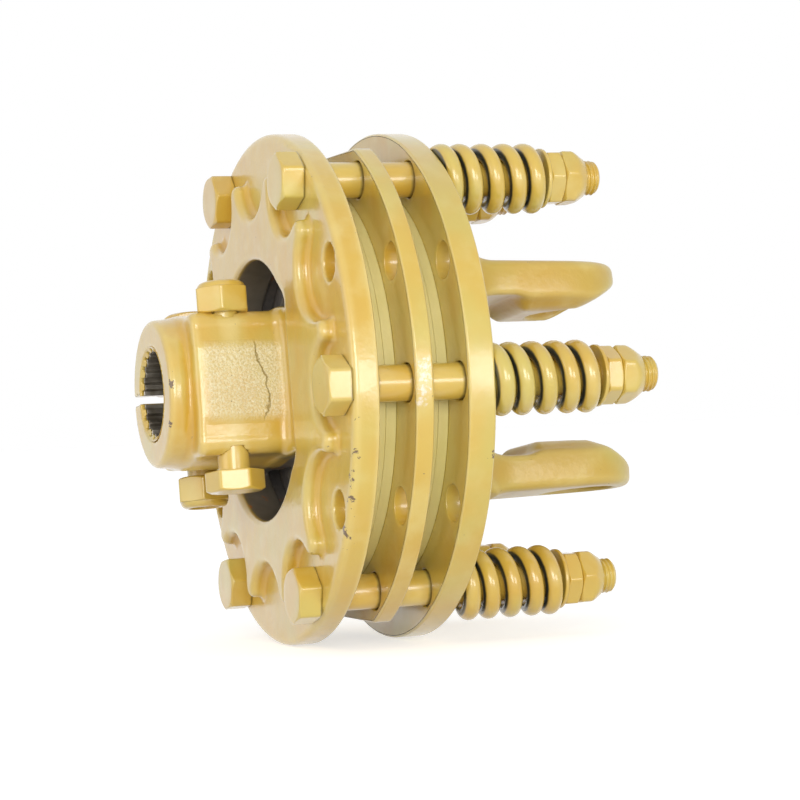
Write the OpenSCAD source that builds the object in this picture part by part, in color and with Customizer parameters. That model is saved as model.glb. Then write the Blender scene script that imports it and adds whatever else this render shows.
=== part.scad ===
// Friction torque limiter with spring-loaded plates, a clamp hub and a cross-joint yoke.
// The axis of rotation is X. The origin is the centre of the splined bore's mouth,
// +X points towards the yoke and +Z is up.

/* [Plates] */
// Outside diameter of the flange and of the two plain plates
plate_d = 200; // [194:1:206]
// Thickness of the flange
flange_t = 10.5; // [9:0.5:13]
// Thickness of the middle plate
middle_t = 7; // [5:0.5:9]
// Thickness of the pressure plate
pressure_t = 10.5; // [8:0.5:13]
// Bore of the middle plate
middle_bore_d = 94; // [90:1:98]
// Bore of the pressure plate
pressure_bore_d = 92; // [90:1:96]
// Thickness of one friction disc
disc_t = 4.5; // [3.5:0.5:6]
// Radial room between the spring bolts and the friction discs
disc_room = 5; // [3:0.5:7]
// Bore of the friction discs
disc_bore_d = 106; // [104:1:116]
// Thickness of one drive plate
drive_t = 4.5; // [3.5:0.5:6]
// How far the drive plates stand out past the friction discs
drive_over = 1.5; // [0:0.5:3]
// Rounding of the plates' outer edges
plate_edge = 1; // [0.5:0.1:1.5]

/* [Spring bolts] */
// Distance of the spring bolts from the plates' rims
bolt_edge = 10; // [9.5:0.5:11]
// Diameter of the spring bolts
bolt_d = 12; // [11:0.25:12.5]
// Clearance of the bolts in their holes, on the diameter
bolt_clear = 1; // [0.6:0.1:1.4]
// Distance across the flats of heads and nuts
bolt_af = 19; // [18:0.5:20]
// Height of a bolt head
bolt_head_h = 7.5; // [6:0.5:9]
// Height of a nut
nut_h = 10; // [8:0.5:11]
// Height of a jam nut
jam_h = 6; // [5:0.5:7]
// Thread that stands out past the jam nut
thread_out = 5; // [3:0.5:8]
// Diameter of the empty holes between the bolts
spare_hole_d = 14; // [12:0.5:15]
// Diameter of the washers under the nuts
washer_d = 24; // [22:0.5:26]
// Thickness of a washer
washer_t = 2; // [1:0.25:3]

/* [Springs] */
// Length of a spring as fitted
spring_l = 46.5; // [45:0.5:50]
// Outside diameter of a spring
spring_d = 28; // [27:0.5:29]
// Thickness of the spring wire
wire_d = 7; // [6:0.25:7]
// Turns of a spring, end turns included
spring_turns = 5.2; // [4.8:0.1:5.4]

/* [Clamp hub] */
// Distance from the bore's mouth to the flange's face
hub_reach = 48; // [46:1:56]
// Diameter of the round hub barrel
barrel_d = 57; // [56:0.5:60]
// Length of the boxy clamp body, up to the flange's face
box_l = 36; // [34:1:40]
// Width of the clamp body
box_w = 62; // [61:0.5:66]
// Height of the clamp body
box_h = 55; // [53:0.5:56]
// Corner radius of the clamp body
box_corner = 10; // [7:0.5:12]
// Turn of the hub about the axis, in degrees
hub_turn = -7; // [-12:1:12]
// Diameter over the tips of the internal teeth
spline_tip_d = 32; // [31:0.25:32.5]
// Diameter over the roots of the internal teeth
spline_root_d = 35.4; // [35:0.1:36]
// Number of internal teeth
spline_teeth = 21; // [18:1:23]
// Diameter of the chamfer at the bore's mouth
mouth_d = 38.5; // [37:0.5:42]
// Width of the clamping slot
slot_w = 3; // [2:0.25:4]
// Radius of the two windows beside the clamp body
window_r = 51; // [49:0.5:52]
// Height of the raised star on the flange
star_h = 6; // [4:0.5:8]
// Radius of the pockets round the bolt heads
pocket_r = 17.5; // [16:0.25:18]
// Radius of the scallops round the empty holes
scallop_r = 19.8; // [19:0.2:20.4]

/* [Clamp bolts] */
// Diameter of the two clamp bolts
clamp_d = 12; // [11:0.25:12.25]
// Distance of the clamp bolts from the axis
clamp_offset = 22.7; // [22.6:0.1:23.5]
// Distance of the clamp bolts from the bore's mouth
clamp_x = 24.3; // [23:0.5:28]
// Distance across the flats of the clamp bolts' heads and nuts
clamp_af = 20; // [18:0.5:21]
// Height of a clamp bolt's head
clamp_head_h = 8; // [6:0.5:9]
// Height of the hexagon of a clamp nut
clamp_hex_h = 8; // [6:0.5:9]
// Height of the round collar of a clamp nut
clamp_collar_h = 4.3; // [3:0.1:6]
// Free shank under the near bolt's head
near_free = 5.9; // [2:0.1:8]
// Free shank above the far bolt's nut
far_free = 3.1; // [2:0.1:8]

/* [Yoke] */
// Distance from the flange's face to the axis of the cross bores
cross_reach = 127; // [126:1:134]
// Diameter of the cross bores
cross_bore_d = 30.2; // [27:0.1:31]
// Diameter over the outside of the two ears
yoke_swing_d = 95; // [93:0.5:98]
// Distance between the flat inner faces of the ears
yoke_gap = 53; // [50:0.5:56]
// Width of an ear
ear_w = 48; // [46:0.5:52]
// Distance between the inner faces beside the bosses
ear_root_gap = 64; // [62:0.5:68]
// Turn of the yoke about the axis, in degrees
yoke_turn = -6; // [-30:1:30]
// Outside diameter of the yoke's sleeve
sleeve_d = 74; // [72:0.5:75]
// Diameter over the driving lugs on the sleeve
lug_d = 83; // [81:0.5:85]
// Width of a driving lug
lug_w = 12; // [10:0.5:14]
// Inner diameter of the bush
bush_bore_d = 46.1; // [46:0.1:48]
// Outer diameter of the bush
bush_d = 54; // [53:0.5:56]

/* [Hidden] */
$fn = 64;
// Counts and angles
bolt_count = 6;
bolt_step = 360 / bolt_count;
lug_count = 6;
// Overrun of every cut
cut = 1;
// Places along the axis
flange_x = hub_reach;
flange_back = flange_x + flange_t;
gap_l = 2 * disc_t + drive_t;
middle_x = flange_back + gap_l;
middle_back = middle_x + middle_t;
pressure_x = middle_back + gap_l;
pressure_back = pressure_x + pressure_t;
washer_x = pressure_back + spring_l;
nut_x = washer_x + washer_t;
jam_x = nut_x + nut_h;
bolt_end = jam_x + jam_h + thread_out;
cross_x = flange_x + cross_reach;
bolt_r = plate_d / 2 - bolt_edge;
disc_d = 2 * (bolt_r - disc_room) - bolt_d;
drive_d = disc_d + 2 * drive_over;
hole_d = bolt_d + bolt_clear;
// Clearance of the thread in a nut, on the diameter
thread_clear = 0.1;
// Chamfers of fasteners
hex_chamfer = 1.2;
end_chamfer = 1;
// Rounding of the flange's front edge and of the barrel's end
rim_edge = 2.4;
barrel_edge = 2;
// The raised star: its core, its horn tips, and the foot and top steps that soften its wall
star_core_in = 7;
star_core_r = bolt_r - star_core_in;
horn_r = 5.2;
horn_in = 5.5;
horn_place_r = bolt_r - horn_in;
star_foot_h = 1.5;
star_foot_grow = 1.2;
star_top_h = 1.1;
star_top_grow = -1;
// Hub: front rounding at the sides and at the top, barrel inside it, flare into the flange, spigot
box_nose = 6;
nose_top_share = 0.4;
barrel_sink = 0.8;
flare_r = 9;
flare_share = 0.8;
flare_sink = 0.5;
web_drop = 0.5;
nose_steps = 4;
corner_steps = 5;
spigot_clear = 0.05;
spigot_d = bush_bore_d - 2 * spigot_clear;
spigot_bore_d = 38;
spigot_out = 12;
spigot_end = pressure_back + spigot_out;
spline_gap_share = 0.5;
mouth_l = 1.5;
spline_end = flange_x + flange_t / 2;
slot_end = flange_x - star_h - 2 * slot_w;
clamp_clear = 0.5;
clamp_collar_share = 0.93;
collar_edge = 2;
// Spring mesh
wire_sides = 8;
turn_steps = 14;
spring_phase = 216;
// Share of the wire's thickness by which an end turn rises, and where its centre starts
end_rise_share = 1.03;
end_start_share = 0.25;
// Yoke
sleeve_start = flange_back + 2 * plate_edge;
yoke_base_gap = 4;
yoke_base_x = pressure_back + yoke_base_gap;
yoke_base_d = 92;
yoke_base_l = 16;
yoke_face_x = yoke_base_x + yoke_base_l;
root_fillet = 16;
ear_edge = 4;
tip_round = 6;
boss_front = 23;
boss_ramp = 4;
boss_flat_half = 15.5;
bevel_start = 3;
bevel_rise = 10.5;
bore_edge = 0.3;
fit_clear = 0.2;

// Placing helpers

// Draws children with their Z along the part's X, from the place given
module along_x(at = 0) {
    rotate([90, 0, 90]) translate([0, 0, at]) children();
}

// Repeats children at each spring bolt, whose axis becomes the child's Z axis
module at_bolt(i, at = 0) {
    rotate([-bolt_step * (i - 1), 0, 0])
        translate([0, -bolt_r, 0])
            along_x(at) children();
}

// The hub is turned a few degrees against the bolts
module in_hub() {
    rotate([hub_turn, 0, 0]) children();
}

// Shared shapes

// Flat ring with rounded outer edges, front face at zero
module rounded_ring(bore, outer, thick, front_edge, back_edge) {
    rotate_extrude() {
        translate([bore / 2, front_edge])
            square([(outer - bore) / 2, thick - front_edge - back_edge]);
        translate([bore / 2, 0])
            square([(outer - bore) / 2 - front_edge, thick / 2]);
        translate([bore / 2, thick / 2])
            square([(outer - bore) / 2 - back_edge, thick / 2]);
        translate([outer / 2 - front_edge, front_edge]) circle(r = front_edge);
        translate([outer / 2 - back_edge, thick - back_edge]) circle(r = back_edge);
    }
}

// Hexagon with chamfered corners at one or both ends
module hexagon(across, height, low_chamfer, high_chamfer) {
    corner_d = across / cos(30);
    tilt = tan(30);
    intersection() {
        cylinder(d = corner_d, h = height, $fn = 6);
        union() {
            cylinder(d1 = corner_d - 2 * low_chamfer, d2 = corner_d, h = low_chamfer * tilt + cut / 1000);
            translate([0, 0, low_chamfer * tilt])
                cylinder(d = corner_d, h = height - (low_chamfer + high_chamfer) * tilt);
            translate([0, 0, height - high_chamfer * tilt])
                cylinder(d1 = corner_d, d2 = corner_d - 2 * high_chamfer, h = high_chamfer * tilt);
        }
    }
}

// Round shank with a chamfered end
module shank(d, length) {
    cylinder(d = d, h = length - end_chamfer);
    translate([0, 0, length - end_chamfer])
        cylinder(d1 = d, d2 = d - 2 * end_chamfer, h = end_chamfer);
}

// The bolts' holes and the empty holes between them, cut through one plate
module plate_holes(from, to) {
    for (i = [1:bolt_count]) {
        at_bolt(i, from - cut) cylinder(d = hole_d, h = to - from + 2 * cut);
        rotate([bolt_step / 2, 0, 0])
            at_bolt(i, from - cut) cylinder(d = spare_hole_d, h = to - from + 2 * cut);
    }
}

// Flange and clamp hub

// Outline of the raised star: pockets at the bolts, scallops at the empty holes
module star_2d(grow) {
    horn_turn = asin((pocket_r + bolt_r * 2 * sin(bolt_step / 4) - scallop_r) / 2 / bolt_r);
    difference() {
        union() {
            circle(r = star_core_r + grow);
            for (i = [0:bolt_count - 1]) {
                for (side = [-1, 1])
                    rotate(180 + bolt_step * i + side * horn_turn)
                        translate([horn_place_r, 0]) circle(r = horn_r + grow);
            }
        }
        for (i = [0:bolt_count - 1]) {
            rotate(bolt_step * i) translate([bolt_r, 0]) circle(r = pocket_r - grow);
            rotate(bolt_step * (i + 1 / 2)) translate([bolt_r, 0]) circle(r = scallop_r - grow);
        }
    }
}

module star() {
    along_x(flange_x - star_foot_h) linear_extrude(star_foot_h + cut) star_2d(star_foot_grow);
    along_x(flange_x - star_h + star_top_h) linear_extrude(star_h - star_top_h + cut) star_2d(0);
    along_x(flange_x - star_h) linear_extrude(star_top_h) star_2d(star_top_grow);
}

// Points round a rectangle with rounded corners, half_w by half_h
function rounded_points(half_w, half_h, r) = [
    for (quarter = [0:3])
        for (k = [0:corner_steps])
            let (
                a = 90 * (quarter + k / corner_steps),
                sy = quarter == 0 || quarter == 3 ? 1 : -1,
                sz = quarter < 2 ? 1 : -1
            )
            [sy * (half_w - r) + r * cos(a), sz * (half_h - r) + r * sin(a)]
];

// Stations of the clamp body: x, half width, half height, corner radius
function box_stations() = concat(
    [for (k = [0:nose_steps])
        let (t = 90 * k / nose_steps, inset = box_nose * (1 - sin(t)))
        [flange_x - box_l + box_nose * (1 - cos(t)), box_w / 2 - inset,
            box_h / 2 - inset * nose_top_share, box_corner - inset / 2]],
    [for (k = [0:nose_steps])
        let (
            end = 90 * flare_share,
            t = end * k / nose_steps,
            at = flange_x - star_h + flare_sink - flare_r * (sin(end) - sin(t))
        )
        [at, box_w / 2 + flare_r * (1 - cos(t)), box_h / 2, box_corner]],
    [[flange_back, box_w / 2 + flare_r * (1 - cos(90 * flare_share)), box_h / 2, box_corner]]
);

module clamp_body() {
    stations = box_stations();
    ring = 4 * (corner_steps + 1);
    last = len(stations) - 1;
    points = [for (s = stations) for (p = rounded_points(s[1], s[2], s[3])) [s[0], p[0], p[1]]];
    sides = [for (j = [0:last - 1]) for (k = [0:ring - 1])
        let (n = (k + 1) % ring, a = j * ring, b = a + ring) each [[a + k, b + n, a + n], [a + k, b + k, b + n]]];
    polyhedron(points, concat([[for (k = [0:ring - 1]) k]], sides, [[for (k = [ring - 1:-1:0]) last * ring + k]]));
}

// Two windows above and below the clamp body; the webs between them join it to the flange
module window_2d(grow) {
    difference() {
        circle(r = window_r + grow);
        translate([-window_r * 2, -box_h / 2 + web_drop]) square([window_r * 4, box_h - 2 * web_drop]);
    }
}

module windows() {
    along_x(flange_x - star_h - cut) linear_extrude(flange_t + star_h + 2 * cut) window_2d(0);
    along_x(flange_x - star_h - cut) linear_extrude(star_top_h + cut) window_2d(-star_top_grow);
}

module spline_bore() {
    groove_share = spline_gap_share * 360 / spline_teeth / 2;
    tip_r = spline_tip_d / 2;
    root_r = spline_root_d / 2;
    along_x(-cut) cylinder(d = spline_tip_d, h = spline_end + 2 * cut);
    along_x(-cut) linear_extrude(spline_end + cut)
        for (i = [0:spline_teeth - 1])
            rotate(360 * i / spline_teeth)
                polygon([
                    [tip_r * 3 / 4, -tip_r * sin(groove_share)],
                    [tip_r, -tip_r * sin(groove_share) * 5 / 4],
                    [root_r, -tip_r * sin(groove_share) * 3 / 4],
                    [root_r, tip_r * sin(groove_share) * 3 / 4],
                    [tip_r, tip_r * sin(groove_share) * 5 / 4],
                    [tip_r * 3 / 4, tip_r * sin(groove_share)]
                ]);
    along_x() cylinder(d1 = mouth_d, d2 = spline_tip_d, h = mouth_l);
    along_x(-cut) cylinder(d = mouth_d, h = cut);
    along_x(spline_end) cylinder(d = spigot_bore_d, h = spigot_end - spline_end + cut);
}

module barrel() {
    barrel_l = hub_reach - box_l + barrel_sink;
    along_x() rotate_extrude() {
        translate([0, barrel_edge]) square([barrel_d / 2, barrel_l - barrel_edge]);
        square([barrel_d / 2 - barrel_edge, barrel_l]);
        translate([barrel_d / 2 - barrel_edge, barrel_edge]) circle(r = barrel_edge);
    }
}

module clamp_hub() {
    color("goldenrod")
        difference() {
            union() {
                in_hub() clamp_body();
                barrel();
                along_x(flange_x) cylinder(d = spigot_d, h = spigot_end - flange_x);
            }
            in_hub() spline_bore();
            in_hub() translate([-cut, 0, -slot_w / 2]) cube([slot_end + cut, box_w, slot_w]);
            for (side = [-1, 1])
                in_hub() translate([clamp_x, side * clamp_offset, -box_h])
                    cylinder(d = clamp_d + clamp_clear, h = 2 * box_h);
        }
}

module flange() {
    color("goldenrod")
        difference() {
            union() {
                along_x(flange_x) rounded_ring(0, plate_d, flange_t, rim_edge, plate_edge);
                star();
            }
            in_hub() windows();
            in_hub() clamp_body();
            plate_holes(flange_x, flange_back);
        }
}

// Clamp bolts: the near one points up, the far one points down

module clamp_bolt(length, head_at) {
    translate([clamp_x, 0, head_at]) {
        rotate(15) hexagon(clamp_af, clamp_head_h, hex_chamfer, 0);
        translate([0, 0, clamp_head_h]) shank(clamp_d, length);
    }
}

module clamp_nut() {
    collar_r = clamp_af / 2 * clamp_collar_share;
    bore_d = clamp_d + thread_clear;
    difference() {
        union() {
            hexagon(clamp_af, clamp_hex_h, hex_chamfer, hex_chamfer);
            translate([0, 0, clamp_hex_h]) rotate_extrude() {
                square([collar_r, clamp_collar_h - collar_edge]);
                square([collar_r - collar_edge, clamp_collar_h]);
                translate([collar_r - collar_edge, clamp_collar_h - collar_edge]) circle(r = collar_edge);
            }
        }
        translate([0, 0, -cut]) cylinder(d = bore_d, h = clamp_hex_h + clamp_collar_h + 2 * cut);
    }
}

near_l = near_free + box_h + clamp_hex_h + clamp_collar_h - end_chamfer;
far_l = box_h + far_free + clamp_hex_h + clamp_collar_h - end_chamfer;

module clamp_bolt_near() {
    color("goldenrod") in_hub() translate([0, -clamp_offset, 0])
        clamp_bolt(near_l, -box_h / 2 - near_free - clamp_head_h);
}

module clamp_bolt_far() {
    color("goldenrod") in_hub() translate([0, clamp_offset, 0]) mirror([0, 0, 1])
        clamp_bolt(far_l, -box_h / 2 - clamp_head_h);
}

module clamp_nut_near() {
    color("goldenrod") in_hub() translate([clamp_x, -clamp_offset, box_h / 2]) rotate(23) clamp_nut();
}

module clamp_nut_far() {
    color("goldenrod") in_hub() translate([clamp_x, clamp_offset, -box_h / 2 - far_free])
        mirror([0, 0, 1]) clamp_nut();
}

// Plates and discs

module middle_plate() {
    color("goldenrod") difference() {
        along_x(middle_x) rounded_ring(middle_bore_d, plate_d, middle_t, plate_edge, plate_edge);
        plate_holes(middle_x, middle_back);
    }
}

module pressure_plate() {
    color("goldenrod") difference() {
        along_x(pressure_x) rounded_ring(pressure_bore_d, plate_d, pressure_t, plate_edge, plate_edge);
        plate_holes(pressure_x, pressure_back);
    }
}

// The sleeve's driving lugs, also cut into the drive plates with a clearance
module lugs_2d(extra) {
    for (i = [0:lug_count - 1])
        rotate(360 * i / lug_count)
            translate([0, -lug_w / 2 - extra]) square([lug_d / 2 + extra, lug_w + 2 * extra]);
}

module drive_plate(at) {
    color("darkkhaki") rotate([yoke_turn, 0, 0]) along_x(at) linear_extrude(drive_t)
        difference() {
            circle(d = drive_d);
            circle(d = sleeve_d + 2 * fit_clear);
            lugs_2d(fit_clear);
        }
}

module friction_disc(at) {
    color("dimgray") along_x(at) linear_extrude(disc_t)
        difference() {
            circle(d = disc_d);
            circle(d = disc_bore_d);
        }
}

module bush() {
    color("peru") along_x(sleeve_start) linear_extrude(spigot_end - sleeve_start)
        difference() {
            circle(d = bush_d);
            circle(d = bush_bore_d);
        }
}

// Yoke

// Section across one ear: round outside, straight sides, slanted inner corners
module ear_section_2d() {
    half = ear_w / 2;
    shoulder = half - ear_edge;
    swing = yoke_swing_d / 2;
    inner = yoke_gap / 2;
    crease = ear_root_gap / 2;
    corner_z = sqrt((swing - ear_edge) * (swing - ear_edge) - shoulder * shoulder);
    intersection() {
        circle(r = swing);
        translate([-shoulder, crease]) square([2 * shoulder, swing]);
    }
    translate([-half, crease]) square([2 * half, corner_z - crease]);
    for (side = [-1, 1])
        translate([side * shoulder, corner_z]) circle(r = ear_edge);
    polygon([[-half, crease], [-boss_flat_half, inner], [boss_flat_half, inner], [half, crease]]);
    translate([-half, crease]) square([2 * half, ear_edge]);
}

// Outline of one ear from above
module ear_plan_2d() {
    tip = ear_w / 2 + fit_clear;
    translate([yoke_base_x, -ear_w / 2]) square([cross_x - yoke_base_x, ear_w]);
    translate([cross_x, 0]) circle(r = tip);
}

// Space between the ears, seen from the side
module ear_space_2d() {
    crease = ear_root_gap / 2;
    inner = yoke_gap / 2;
    far = cross_x + ear_w;
    translate([yoke_face_x + root_fillet, -crease]) square([far - yoke_face_x, 2 * crease]);
    translate([yoke_face_x, -crease + root_fillet]) square([root_fillet + cut, 2 * (crease - root_fillet)]);
    for (side = [-1, 1])
        translate([yoke_face_x + root_fillet, side * (crease - root_fillet)]) circle(r = root_fillet);
}

// Thicker boss round the cross bore, with a bevel towards the tip
module boss_2d() {
    crease = ear_root_gap / 2;
    inner = yoke_gap / 2;
    start = cross_x - boss_front;
    tip = cross_x + ear_w;
    slope = bevel_rise / (ear_w / 2 - bevel_start);
    polygon([
        [start - boss_ramp, crease + cut],
        [start - boss_ramp, crease],
        [start, inner],
        [cross_x + bevel_start, inner],
        [tip, inner + slope * (tip - cross_x - bevel_start)],
        [tip, crease + cut + slope * ear_w]
    ]);
}

// Side view of the ear's end, rounded at its outer corner
module ear_end_2d() {
    tip_x = cross_x + ear_w / 2 + fit_clear;
    swing = yoke_swing_d / 2;
    square([tip_x - tip_round, swing + cut]);
    square([tip_x, swing - tip_round]);
    translate([tip_x - tip_round, swing - tip_round]) circle(r = tip_round);
}

module bevel_2d() {
    inner = yoke_gap / 2;
    start = cross_x + bevel_start;
    far = cross_x + ear_w;
    slope = bevel_rise / (ear_w / 2 - bevel_start);
    polygon([[start, inner], [far, inner + slope * (far - start)], [far, 0], [start, 0]]);
}

module side_view() {
    rotate([90, 0, 0]) translate([0, 0, -ear_w]) linear_extrude(2 * ear_w) children();
}

module ear() {
    difference() {
        intersection() {
            along_x(yoke_base_x) linear_extrude(cross_x + ear_w - yoke_base_x) ear_section_2d();
            linear_extrude(yoke_swing_d) ear_plan_2d();
            side_view() ear_end_2d();
        }
        side_view() difference() {
            ear_space_2d();
            boss_2d();
        }
        side_view() bevel_2d();
    }
}

module yoke() {
    color("goldenrod") rotate([yoke_turn, 0, 0]) difference() {
        union() {
            along_x(sleeve_start) cylinder(d = sleeve_d, h = yoke_base_x - sleeve_start + cut);
            along_x(sleeve_start) linear_extrude(yoke_base_x - sleeve_start + cut) lugs_2d(0);
            along_x(yoke_base_x) rounded_ring(0, yoke_base_d, yoke_base_l, plate_edge, rim_edge);
            ear();
            mirror([0, 0, 1]) ear();
        }
        along_x(sleeve_start - cut) cylinder(d = bush_d, h = yoke_face_x - sleeve_start + 2 * cut);
        translate([cross_x, 0, -yoke_swing_d]) cylinder(d = cross_bore_d, h = 2 * yoke_swing_d);
        for (side = [0, 1]) mirror([0, 0, side])
            translate([cross_x, 0, yoke_gap / 2 - cut])
                cylinder(
                    d1 = cross_bore_d + 2 * (bore_edge + cut),
                    d2 = cross_bore_d - 2 * cut,
                    h = bore_edge + 2 * cut
                );
    }
}

// Spring bolts, springs, washers and nuts

module spring_bolt(i) {
    color("goldenrod") at_bolt(i, flange_x) {
        mirror([0, 0, 1]) rotate(i % 2 == 1 ? 0 : 20) hexagon(bolt_af, bolt_head_h, 0, hex_chamfer);
        shank(bolt_d, bolt_end - flange_x);
    }
}

module washer(i) {
    color("goldenrod") at_bolt(i, washer_x) difference() {
        cylinder(d = washer_d, h = washer_t);
        translate([0, 0, -cut]) cylinder(d = hole_d, h = washer_t + 2 * cut);
    }
}

module nut(i) {
    color("goldenrod") at_bolt(i, nut_x) difference() {
        rotate(i == 1 ? 0 : 30) hexagon(bolt_af, nut_h, hex_chamfer, hex_chamfer);
        translate([0, 0, -cut]) cylinder(d = bolt_d + thread_clear, h = nut_h + 2 * cut);
    }
}

module jam_nut(i) {
    color("goldenrod") at_bolt(i, jam_x) difference() {
        rotate(i == 1 ? 5 : 24) hexagon(bolt_af, jam_h, hex_chamfer, hex_chamfer);
        translate([0, 0, -cut]) cylinder(d = bolt_d + thread_clear, h = jam_h + 2 * cut);
    }
}

// Place of the wire's centre along the spring after t turns: close end turns, open middle
function wire_z(t) =
    let (
        rise = end_rise_share * wire_d,
        start = end_start_share * wire_d,
        pitch = (spring_l - 2 * start - 2 * rise) / (spring_turns - 2)
    )
    t < 1 ? start + rise * t
    : t > spring_turns - 1 ? spring_l - start - rise * (spring_turns - t)
    : start + rise + pitch * (t - 1);

// One ring of the wire, in the plane through the spring's axis, ground flat at both ends
function wire_ring(t) =
    let (
        mean_r = (spring_d - wire_d) / 2,
        a = 360 * t + spring_phase
    )
    [for (k = [0:wire_sides - 1])
        let (
            b = 360 * (k + 1 / 2) / wire_sides,
            r = mean_r + wire_d / 2 * cos(b),
            z = wire_z(t) + wire_d / 2 * sin(b)
        )
        [r * cos(a), r * sin(a), max(0, min(spring_l, z))]];

module spring_coil() {
    steps = round(spring_turns * turn_steps);
    points = [for (j = [0:steps]) each wire_ring(spring_turns * j / steps)];
    sides = [for (j = [0:steps - 1]) for (k = [0:wire_sides - 1])
        let (n = (k + 1) % wire_sides, a = j * wire_sides, b = a + wire_sides)
        each [[a + k, a + n, b + n], [a + k, b + n, b + k]]];
    polyhedron(points, concat(
        [[for (k = [wire_sides - 1:-1:0]) k]],
        sides,
        [[for (k = [0:wire_sides - 1]) steps * wire_sides + k]]
    ));
}

module spring(i) {
    color("goldenrod") at_bolt(i, pressure_back) spring_coil();
}

clamp_hub();
flange();
middle_plate();
pressure_plate();
yoke();
bush();
drive_plate(flange_back + disc_t);  // drive_plate_1
drive_plate(middle_back + disc_t);  // drive_plate_2
friction_disc(flange_back);  // friction_disc_1
friction_disc(flange_back + disc_t + drive_t);  // friction_disc_2
friction_disc(middle_back);  // friction_disc_3
friction_disc(middle_back + disc_t + drive_t);  // friction_disc_4
for (i = [1:bolt_count]) {
    spring_bolt(i);
    spring(i);
    washer(i);
    nut(i);
    jam_nut(i);
}
clamp_bolt_near();
clamp_bolt_far();
clamp_nut_near();
clamp_nut_far();
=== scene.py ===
# %% [markdown]
# # A friction torque limiter in thick ochre paint
# The real object is a driveshaft part: a forged clamp hub with a round flange, two plain plates,
# friction discs between them, six long bolts with coil springs, and a forged yoke at the back.
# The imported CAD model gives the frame, and this lesson dresses it: each forging, plate, spring and
# fastener gets a surface worked out with numpy, and each finish is built from shader nodes.

import bpy
import numpy as np
from mathutils import Matrix


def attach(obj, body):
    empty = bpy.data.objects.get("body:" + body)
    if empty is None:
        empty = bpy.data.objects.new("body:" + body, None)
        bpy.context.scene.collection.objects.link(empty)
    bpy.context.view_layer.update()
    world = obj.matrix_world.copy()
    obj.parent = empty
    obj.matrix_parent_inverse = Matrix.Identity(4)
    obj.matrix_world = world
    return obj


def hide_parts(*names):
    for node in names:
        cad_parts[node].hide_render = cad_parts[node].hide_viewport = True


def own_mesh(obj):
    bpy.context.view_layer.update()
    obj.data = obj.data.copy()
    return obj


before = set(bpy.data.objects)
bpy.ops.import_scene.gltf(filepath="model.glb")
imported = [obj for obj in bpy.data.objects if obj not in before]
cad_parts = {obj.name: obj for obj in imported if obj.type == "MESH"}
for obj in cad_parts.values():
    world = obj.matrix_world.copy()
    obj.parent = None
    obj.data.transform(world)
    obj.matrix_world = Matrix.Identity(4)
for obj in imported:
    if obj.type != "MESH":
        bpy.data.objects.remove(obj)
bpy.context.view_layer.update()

# %% [markdown]
# ## Camera
# A camera was fitted to the rims, bolts and holes in the photograph. It stands about a metre away
# at the height of the axis, 20 degrees round from the side, and is rolled by a little over 2
# degrees. Its three axes are written out, because a fitted view seldom lines up with anything.

# %% Place the camera
view_right = (0.9389922, -0.34143366, -0.04143321)
view_up = (0.03759743, -0.01784715, 0.99913358)
view_forward = (0.3418773, 0.93973642, 0.0039213)
camera_place = (-0.247552, -0.960594, -0.009841)

lens = bpy.data.cameras.new("camera")
lens.lens = 115.0788
lens.sensor_width = 36
lens.clip_start = 0.05
camera = bpy.data.objects.new("camera", lens)
bpy.context.scene.collection.objects.link(camera)
camera.matrix_world = Matrix(
    [(view_right[k], view_up[k], -view_forward[k], camera_place[k]) for k in range(3)]
    + [(0, 0, 0, 1)]
)
bpy.context.scene.camera = camera
bpy.context.scene.view_settings.view_transform = "Standard"
print("camera", lens.lens, "mm lens")

# %% [markdown]
# ## Colours
# A picture's colour numbers are not light: they carry a display curve. The shader wants light, so a
# colour that was judged on a screen is turned into light first.


# %% Turn screen colours into light
def light_of(red, green, blue):
    """A colour for a shader: each channel over 255, plus 0.055, over 1.055, to the power 2.4, or
    over 12.92 alone where it is very dark."""
    value = np.array([red, green, blue]) / 255
    light = np.where(value <= 0.04045, value / 12.92, ((value + 0.055) / 1.055) ** 2.4)
    return (*[float(v) for v in light], 1.0)


# %% Paint colours
OCHRE = light_of(217, 183, 76)
# The deep ochre mottles the paint, and it is also the painted shade in hollows.
OCHRE_MOTTLE_AND_SHADE = light_of(211, 163, 46)
OCHRE_PALE = light_of(231, 212, 138)
OCHRE_GREEN = light_of(203, 192, 100)
# Painted shade on the plates' inner faces, in the gaps between them.
PLATE_GAP_SHADE = light_of(204, 188, 96)
# A darker copy of the ochre for the yoke: painted shade on its ears.
OCHRE_SHADED = light_of(203, 166, 62)
# Painted sheen: the pale tone laid over the rough forged patch.
SHEEN_CHALK = light_of(238, 230, 192)
SEAM = light_of(156, 134, 62)
SPRAY, SPRAY_PALE = light_of(224, 214, 134), light_of(240, 230, 168)

# %% Colours of wear, of bare metal and of painted shade
PRIMER = light_of(112, 88, 58)
# Painted shade with grime: between spring turns and where the shanks enter the plates.
GRIME_AND_SHADE = light_of(52, 54, 44)
# Tone of painted shade for the fasteners, which carry no shade mark.
FASTENER_SHADE = light_of(96, 88, 48)
SCRATCH = light_of(232, 222, 206)
RUST, FACE_RUST = light_of(180, 108, 68), light_of(176, 112, 74)
STEEL_DARK, STEEL_PALE = light_of(96, 95, 94), light_of(136, 132, 126)
FACE_DARK, FACE_PALE = light_of(80, 78, 80), light_of(136, 131, 126)
BRONZE_DARK, BRONZE_PALE = light_of(140, 98, 52), light_of(182, 138, 80)
CUT_DARK, CUT_PALE = light_of(120, 112, 98), light_of(186, 180, 168)
print("ochre as light", OCHRE)

# %% [markdown]
# ## Nodes
# A finish is a graph. Its nodes work out numbers and colours from the point on the object, and its
# links carry them to the shader. The same few steps come up again and again: each is a method.


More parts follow.
